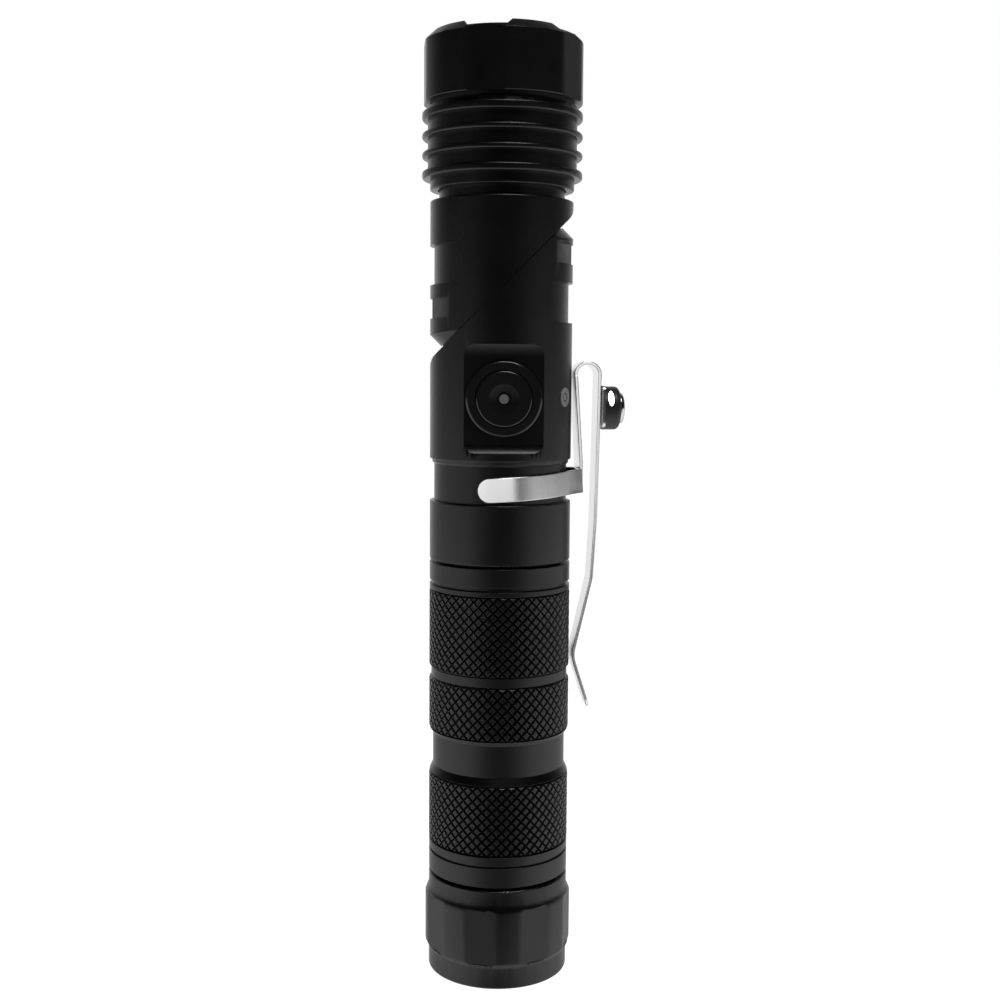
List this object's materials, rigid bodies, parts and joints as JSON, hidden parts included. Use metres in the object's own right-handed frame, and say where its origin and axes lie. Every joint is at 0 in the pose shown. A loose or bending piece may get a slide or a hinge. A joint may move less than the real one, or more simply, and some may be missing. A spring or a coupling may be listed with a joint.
{
  "type": "tactical flashlight",
  "caption": "Twist-head pocket flashlight that folds to a right angle: knurled tube, side switch, finned head with crenellated bezel, spring clip with a magnet stud.",
  "frame": {"origin": "centre of the tail cap's flat end face, on which the light stands with its head straight", "axes": "+Z along the tube towards the lens; the side switch faces -Y; the head folds over towards -X; the clip hangs just behind +X"},
  "size_m": [0.0374, 0.029, 0.172],
  "materials": {
    "anodised_black": "matt hard-anodised",
    "spring_steel": "polished spring steel",
    "stud_black": "satin black",
    "nickel": "bright nickel plate",
    "cell_can": "nickel-plated cell can",
    "contact_metal": "satin nickel plate",
    "gold_spring": "gold-plated wire",
    "stainless": "plain stainless steel",
    "black_polymer": "moulded",
    "switch_gloss": "glossy black",
    "switch_window": "smoked translucent",
    "plunger_polymer": "moulded",
    "rubber_seal": "nitrile rubber",
    "circuit_board": "solder mask",
    "lamp_board": "white solder mask on copper",
    "brass_ring": "turned",
    "lens_glass": "coated tempered glass",
    "reflector_chrome": "vacuum-metallised with a light orange peel",
    "white_polymer": "moulded",
    "led_phosphor": "phosphor under clear silicone",
    "cell_wrap": "heat-shrink wrap",
    "lead_insulation": "silicone"
  },
  "bodies": {
    "housing": {"switch_housing": "anodised_black", "battery_tube": "anodised_black", "front_oring": "rubber_seal", "rear_oring": "rubber_seal", "battery_cell": "cell_can", "battery_wrap": "cell_wrap", "battery_positive_cap": "cell_can", "driver_board": "circuit_board", "driver_retaining_ring": "brass_ring", "front_contact_spring": "gold_spring", "switch_ring": "switch_gloss", "switch_board": "circuit_board", "tactile_switch": "black_polymer", "indicator_led": "led_phosphor", "charge_pin": "contact_metal", "charge_insulator": "black_polymer", "charge_ring": "contact_metal", "friction_washer": "black_polymer", "swivel_oring": "rubber_seal", "detent_ball": "stainless", "detent_spring": "stainless", "slip_washer": "black_polymer"},
    "switch": {"switch_button": "switch_gloss", "button_window": "switch_window", "switch_plunger": "plunger_polymer"},
    "swivel_head": {"swivel_upper": "anodised_black", "pivot_nut": "stainless", "led_leads": "lead_insulation"},
    "head_thread": {"neck_oring": "rubber_seal"},
    "lamp_head": {"finned_head": "anodised_black", "bezel_ring": "anodised_black", "front_lens": "lens_glass", "lens_gasket": "rubber_seal", "reflector": "reflector_chrome", "led_centering_ring": "white_polymer", "led_emitter": "led_phosphor", "led_board": "lamp_board", "led_board_screws": "stainless"},
    "tail_thread": {"tail_spring": "gold_spring", "tail_contact_board": "circuit_board"},
    "tail_cap": {"tail_cap": "anodised_black", "tail_magnet": "nickel", "tail_retaining_ring": "brass_ring"},
    "clip": {"clip_collar": "spring_steel"},
    "clip_leaf": {"clip_leaf": "spring_steel", "clip_backplate": "spring_steel", "clip_stud": "stud_black", "stud_magnet": "nickel", "stud_pin": "nickel"}
  },
  "joints": [
    {"name": "head_swivel", "type": "hinge", "parent": "housing", "child": "swivel_head", "pos_m": [0, 0, 0.1273], "axis": [-0.7071, 0, 0.7071], "range_deg": [0, 180]},
    {"name": "switch_press", "type": "slide", "parent": "housing", "child": "switch", "axis": [0, 1, 0], "range_m": [0, 0.0006], "stiffness_N_per_m": 1500, "springref_m": -0.0006},
    {"name": "head_travel", "type": "slide", "parent": "swivel_head", "child": "head_thread", "axis": [0, 0, 1], "range_m": [-0.00088, 0.003]},
    {"name": "head_screw", "type": "hinge", "parent": "head_thread", "child": "lamp_head", "pos_m": [0, 0, 0.1473], "axis": [0, 0, 1], "range_deg": [-321, 1081]},
    {"name": "tail_travel", "type": "slide", "parent": "housing", "child": "tail_thread", "axis": [0, 0, -1], "range_m": [0, 0.0045]},
    {"name": "tail_screw", "type": "hinge", "parent": "tail_thread", "child": "tail_cap", "pos_m": [0, 0, 0.012], "axis": [0, 0, -1], "range_deg": [0, 1081]},
    {"name": "clip_turn", "type": "hinge", "parent": "housing", "child": "clip", "pos_m": [0, 0, 0.0913], "axis": [0, 0, 1], "range_deg": [-90, 90]},
    {"name": "clip_open", "type": "hinge", "parent": "clip", "child": "clip_leaf", "pos_m": [0.01576, 0.0011, 0.11365], "axis": [0.0698, -0.9976, 0], "range_deg": [0, 7], "stiffness_Nm_per_rad": 3, "springref_deg": -2.86}
  ],
  "couplings": [
    {"joint": "head_screw", "follows": "head_travel", "rad_per_m": 6283.2},
    {"joint": "tail_screw", "follows": "tail_travel", "rad_per_m": 4188.8}
  ]
}
